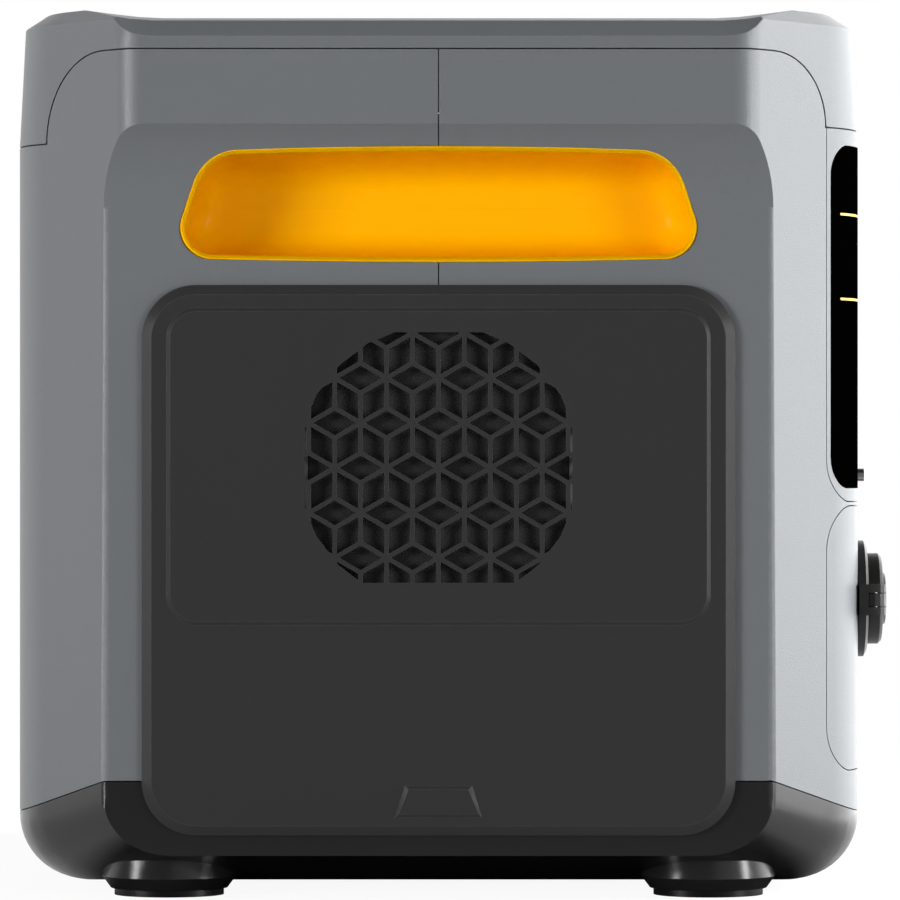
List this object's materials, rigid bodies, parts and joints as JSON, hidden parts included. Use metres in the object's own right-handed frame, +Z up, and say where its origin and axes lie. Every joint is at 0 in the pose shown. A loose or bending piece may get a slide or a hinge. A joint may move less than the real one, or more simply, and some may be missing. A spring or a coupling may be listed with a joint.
{
  "type": "power station",
  "caption": "Portable power station: grey housing with slanted corners, orange carrying cups, black side covers with air grilles, glass front, outlets and capped car socket.",
  "frame": {"origin": "on the floor under the middle of the object's overall box, socket cap included", "axes": "+Z up, front face towards -Y, +X to the right seen from the front"},
  "size_m": [0.42, 0.3108, 0.3113],
  "materials": {
    "grey_shell": "moulded fine grain",
    "black_base": "moulded fine grain",
    "black_cover": "smooth satin",
    "orange_cup": "satin",
    "front_glass": "polished",
    "yellow_print": "printed",
    "display_face": "polished",
    "circuit_board": "solder mask",
    "button_metal": "satin",
    "switch_black": "satin",
    "plated_steel": "plated",
    "tongue_plastic": "moulded",
    "socket_black": "moulded",
    "contact_brass": "turned",
    "filter_mat": "needled mat",
    "foot_rubber": "moulded",
    "cell_casing": "film wrapped",
    "pack_plastic": "moulded",
    "bar_copper": "stamped",
    "chassis_metal": "mill",
    "core_iron": "varnished",
    "capacitor_can": "sleeved"
  },
  "bodies": {
    "housing": {"front_shell": "grey_shell", "rear_shell": "grey_shell", "top_cover": "grey_shell", "front_insert": "grey_shell", "lower_front_panel": "grey_shell", "base_tub": "black_base", "handle_cup_left": "orange_cup", "handle_cup_right": "orange_cup", "control_glass": "front_glass", "accent_rules": "yellow_print", "display_module": "display_face", "control_board": "circuit_board", "button_board": "circuit_board", "bms_board": "circuit_board", "inverter_board": "circuit_board", "button_switches": "switch_black", "fan_frame_left": "switch_black", "fan_frame_right": "switch_black", "rear_inlet_bay": "switch_black", "ac_inlet": "switch_black", "solar_sockets": "switch_black", "ac_outlets": "switch_black", "usb_a_shells": "plated_steel", "usb_c_shells": "plated_steel", "foot_screws": "plated_steel", "case_screws": "plated_steel", "fan_screws_left": "plated_steel", "fan_screws_right": "plated_steel", "cap_hinge_pin": "plated_steel", "inlet_door_pin": "plated_steel", "ac_inlet_pins": "plated_steel", "usb_tongues": "tongue_plastic", "car_socket": "socket_black", "car_socket_contact": "contact_brass", "dust_filter_left": "filter_mat", "dust_filter_right": "filter_mat", "rubber_feet": "foot_rubber", "battery_cells": "cell_casing", "cell_tray": "pack_plastic", "cell_frame": "pack_plastic", "bus_bars": "bar_copper", "inverter_tray": "chassis_metal", "heat_sinks": "chassis_metal", "transformers": "core_iron", "capacitors": "capacitor_can"},
    "power_button": {"power_button": "button_metal"},
    "ac_button": {"ac_button": "button_metal"},
    "dc_button": {"dc_button": "button_metal"},
    "light_button": {"light_button": "button_metal"},
    "socket_cap": {"socket_cap": "socket_black"},
    "inlet_door": {"inlet_door": "switch_black"},
    "fan_rotor_left": {"fan_rotor_left": "switch_black"},
    "fan_rotor_right": {"fan_rotor_right": "switch_black"},
    "side_cover_left": {"side_cover_left": "black_cover"},
    "side_cover_right": {"side_cover_right": "black_cover"}
  },
  "joints": [
    {"name": "cap_hinge", "type": "hinge", "parent": "housing", "child": "socket_cap", "pos_m": [-0.1386, -0.15038, 0.103], "axis": [0, 0, -1], "range_deg": [0, 120]},
    {"name": "inlet_door_hinge", "type": "hinge", "parent": "housing", "child": "inlet_door", "pos_m": [0, 0.15252, 0.1889], "axis": [-1, 0, 0], "range_deg": [0, 90]},
    {"name": "power_press", "type": "slide", "parent": "housing", "child": "power_button", "axis": [0, 1, 0], "range_m": [0, 0.001], "stiffness_N_per_m": 500},
    {"name": "ac_press", "type": "slide", "parent": "housing", "child": "ac_button", "axis": [0, 1, 0], "range_m": [0, 0.001], "stiffness_N_per_m": 500},
    {"name": "dc_press", "type": "slide", "parent": "housing", "child": "dc_button", "axis": [0, 1, 0], "range_m": [0, 0.001], "stiffness_N_per_m": 500},
    {"name": "light_press", "type": "slide", "parent": "housing", "child": "light_button", "axis": [0, 1, 0], "range_m": [0, 0.001], "stiffness_N_per_m": 500},
    {"name": "fan_spin_left", "type": "hinge", "parent": "housing", "child": "fan_rotor_left", "pos_m": [-0.18, 0.00532, 0.1539], "axis": [-1, 0, 0], "continuous": true},
    {"name": "cover_pull_left", "type": "slide", "parent": "housing", "child": "side_cover_left", "axis": [-1, 0, 0], "range_m": [0, 0.03]},
    {"name": "fan_spin_right", "type": "hinge", "parent": "housing", "child": "fan_rotor_right", "pos_m": [0.18, 0.00532, 0.1539], "axis": [1, 0, 0], "continuous": true},
    {"name": "cover_pull_right", "type": "slide", "parent": "housing", "child": "side_cover_right", "axis": [1, 0, 0], "range_m": [0, 0.03]}
  ]
}
